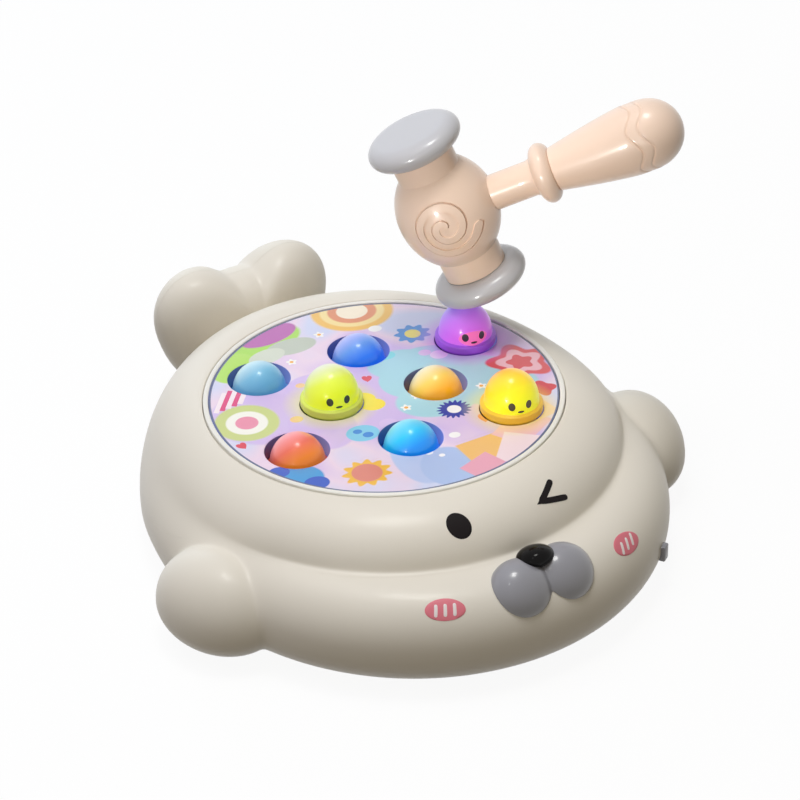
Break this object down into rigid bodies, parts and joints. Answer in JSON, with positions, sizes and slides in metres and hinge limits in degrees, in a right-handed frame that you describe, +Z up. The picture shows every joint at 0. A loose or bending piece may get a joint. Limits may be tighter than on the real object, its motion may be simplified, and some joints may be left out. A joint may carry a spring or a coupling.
{
  "type": "mole pounding game",
  "caption": "Seal-shaped pounding game: a round play deck of pop-up domes in a hollow animal body with muzzle and tail, and a double-headed toy hammer",
  "frame": {"origin": "middle of the flat underside, straight below the centre of the round play deck, on the surface the game stands on", "axes": "+Z up, the seal's face looks along -Y and its tail is at +Y, +X is the side of the power switch"},
  "size_m": [0.2967, 0.314, 0.1953],
  "materials": {
    "ivory_shell": "satin moulded ivory plastic",
    "dark_plastic": "plain moulded dark grey plastic",
    "grey_gloss": "glossy grey plastic",
    "black_gloss": "glossy black plastic",
    "printed_deck": "glossy plate printed with soft pastel shapes",
    "white_bezel": "white plastic ring",
    "board_green": "green circuit board",
    "mole_sky": "translucent light blue plastic",
    "mole_blue": "translucent blue plastic",
    "mole_purple": "translucent purple plastic, lit from below",
    "mole_lime": "translucent yellow-green plastic, lit from below",
    "mole_orange": "translucent orange plastic",
    "mole_yellow": "translucent yellow plastic, lit from below",
    "mole_coral": "translucent red-orange plastic",
    "mole_cyan": "translucent cyan plastic",
    "bare_steel": "bare steel",
    "spring_steel": "drawn spring wire",
    "copper_winding": "lacquered copper winding",
    "zinc_screw": "zinc-plated steel",
    "cell_sleeve": "printed sleeve over a metal can",
    "nickel_strip": "nickel-plated spring steel",
    "knob_grey": "satin grey plastic",
    "hammer_peach": "satin-gloss peach plastic",
    "cap_grey": "glossy light grey plastic"
  },
  "bodies": {
    "seal": {"upper_shell": "ivory_shell", "lower_shell": "ivory_shell", "tail_front_shell": "ivory_shell", "tail_back_shell": "ivory_shell", "muzzle": "grey_gloss", "nose": "black_gloss", "deck_plate": "printed_deck", "deck_bezel": "white_bezel", "mole_guide": "dark_plastic", "circuit_board": "board_green", "mole_spring_1": "spring_steel", "mole_spring_2": "spring_steel", "mole_spring_3": "spring_steel", "mole_spring_4": "spring_steel", "mole_spring_5": "spring_steel", "mole_spring_6": "spring_steel", "mole_spring_7": "spring_steel", "mole_spring_8": "spring_steel", "hold_magnet_1": "copper_winding", "hold_magnet_2": "copper_winding", "hold_magnet_3": "copper_winding", "hold_magnet_4": "copper_winding", "hold_magnet_5": "copper_winding", "hold_magnet_6": "copper_winding", "hold_magnet_7": "copper_winding", "hold_magnet_8": "copper_winding", "case_screw_1": "zinc_screw", "case_screw_2": "zinc_screw", "case_screw_3": "zinc_screw", "battery_door": "ivory_shell", "battery_door_screw": "zinc_screw", "battery_cell_1": "cell_sleeve", "battery_cell_2": "cell_sleeve", "battery_cell_3": "cell_sleeve", "battery_contact_left": "nickel_strip", "battery_contact_right": "nickel_strip", "speaker": "dark_plastic", "switch_body": "dark_plastic"},
    "mole_1": {"mole_cap_1": "mole_sky", "mole_armature_1": "bare_steel"},
    "mole_2": {"mole_cap_2": "mole_blue", "mole_armature_2": "bare_steel"},
    "mole_3": {"mole_cap_3": "mole_purple", "mole_armature_3": "bare_steel"},
    "mole_4": {"mole_cap_4": "mole_lime", "mole_armature_4": "bare_steel"},
    "mole_5": {"mole_cap_5": "mole_orange", "mole_armature_5": "bare_steel"},
    "mole_6": {"mole_cap_6": "mole_yellow", "mole_armature_6": "bare_steel"},
    "mole_7": {"mole_cap_7": "mole_coral", "mole_armature_7": "bare_steel"},
    "mole_8": {"mole_cap_8": "mole_cyan", "mole_armature_8": "bare_steel"},
    "power_switch": {"switch_knob": "knob_grey"},
    "hammer": {"hammer_head_front": "hammer_peach", "hammer_head_back": "hammer_peach", "hammer_cap_top": "cap_grey", "hammer_cap_bottom": "cap_grey", "hammer_handle": "hammer_peach"}
  },
  "joints": [
    {"name": "mole_1_travel", "type": "slide", "parent": "seal", "child": "mole_1", "axis": [0, 0, 1], "range_m": [0, 0.012], "deforming": ["mole_spring_1"]},
    {"name": "mole_2_travel", "type": "slide", "parent": "seal", "child": "mole_2", "axis": [0, 0, 1], "range_m": [0, 0.012], "deforming": ["mole_spring_2"]},
    {"name": "mole_3_travel", "type": "slide", "parent": "seal", "child": "mole_3", "axis": [0, 0, 1], "range_m": [-0.012, 0], "stiffness_N_per_m": 60, "springref_m": 0.006, "deforming": ["mole_spring_3"]},
    {"name": "mole_4_travel", "type": "slide", "parent": "seal", "child": "mole_4", "axis": [0, 0, 1], "range_m": [-0.012, 0], "stiffness_N_per_m": 60, "springref_m": 0.006, "deforming": ["mole_spring_4"]},
    {"name": "mole_5_travel", "type": "slide", "parent": "seal", "child": "mole_5", "axis": [0, 0, 1], "range_m": [0, 0.012], "deforming": ["mole_spring_5"]},
    {"name": "mole_6_travel", "type": "slide", "parent": "seal", "child": "mole_6", "axis": [0, 0, 1], "range_m": [-0.012, 0], "stiffness_N_per_m": 60, "springref_m": 0.006, "deforming": ["mole_spring_6"]},
    {"name": "mole_7_travel", "type": "slide", "parent": "seal", "child": "mole_7", "axis": [0, 0, 1], "range_m": [0, 0.012], "deforming": ["mole_spring_7"]},
    {"name": "mole_8_travel", "type": "slide", "parent": "seal", "child": "mole_8", "axis": [0, 0, 1], "range_m": [0, 0.012], "deforming": ["mole_spring_8"]},
    {"name": "power_switch_slide", "type": "slide", "parent": "seal", "child": "power_switch", "axis": [0.8434, 0.5373, 0], "range_m": [0, 0.004]},
    {"name": "hammer_lift", "type": "slide", "parent": "seal", "child": "hammer", "axis": [0, 0, 1], "range_m": [0, 0.12]}
  ]
}
